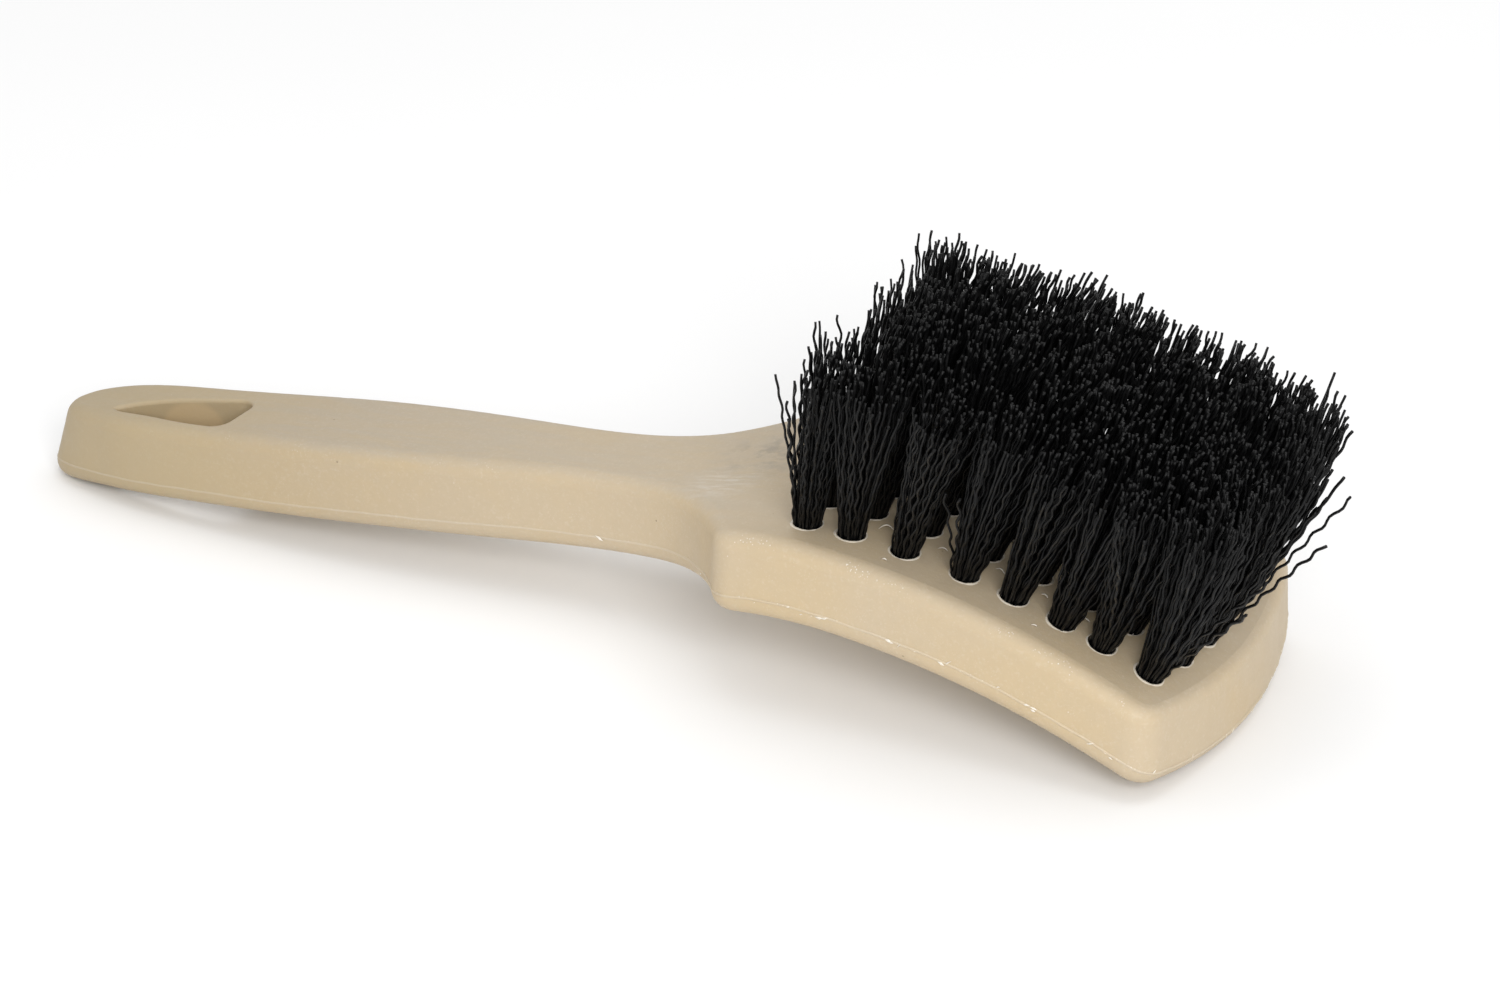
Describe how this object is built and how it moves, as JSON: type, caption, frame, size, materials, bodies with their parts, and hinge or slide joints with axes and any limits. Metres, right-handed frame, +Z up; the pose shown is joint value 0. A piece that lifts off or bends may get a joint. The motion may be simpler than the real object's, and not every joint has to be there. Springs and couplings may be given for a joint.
{
  "type": "wheel brush",
  "caption": "Short-handled brush with an arched one-piece plastic block and crimped bristle tufts, for scrubbing vehicle wheels and tyres.",
  "frame": {"origin": "on the surface the brush lies on, under the middle of its overall box", "axes": "+X from the handle's end towards the head's tip, +Z up out of the bristles, +Y across the brush"},
  "size_m": [0.2268, 0.061, 0.0593],
  "materials": {
    "block_plastic": "matt moulded plastic, tan",
    "bristle": "black crimped filament with a low sheen",
    "anchor_wire": "plain flat wire"
  },
  "bodies": {
    "root": {"block": "block_plastic", "tuft_anchors": "anchor_wire", "tuft_c1_r1": "bristle", "tuft_c1_r2": "bristle", "tuft_c1_r3": "bristle", "tuft_c1_r4": "bristle", "tuft_c1_r5": "bristle", "tuft_c1_r6": "bristle", "tuft_c2_r1": "bristle", "tuft_c2_r2": "bristle", "tuft_c2_r3": "bristle", "tuft_c2_r4": "bristle", "tuft_c2_r5": "bristle", "tuft_c2_r6": "bristle", "tuft_c3_r1": "bristle", "tuft_c3_r2": "bristle", "tuft_c3_r3": "bristle", "tuft_c3_r4": "bristle", "tuft_c3_r5": "bristle", "tuft_c3_r6": "bristle", "tuft_c4_r1": "bristle", "tuft_c4_r2": "bristle", "tuft_c4_r3": "bristle", "tuft_c4_r4": "bristle", "tuft_c4_r5": "bristle", "tuft_c4_r6": "bristle", "tuft_c5_r1": "bristle", "tuft_c5_r2": "bristle", "tuft_c5_r3": "bristle", "tuft_c5_r4": "bristle", "tuft_c5_r5": "bristle", "tuft_c5_r6": "bristle", "tuft_c6_r1": "bristle", "tuft_c6_r2": "bristle", "tuft_c6_r3": "bristle", "tuft_c6_r4": "bristle", "tuft_c6_r5": "bristle", "tuft_c6_r6": "bristle", "tuft_c7_r1": "bristle", "tuft_c7_r2": "bristle", "tuft_c7_r3": "bristle", "tuft_c7_r4": "bristle", "tuft_c7_r5": "bristle", "tuft_c7_r6": "bristle", "tuft_c8_r1": "bristle", "tuft_c8_r2": "bristle", "tuft_c8_r3": "bristle", "tuft_c8_r4": "bristle", "tuft_c8_r5": "bristle", "tuft_c8_r6": "bristle"}
  },
  "joints": []
}
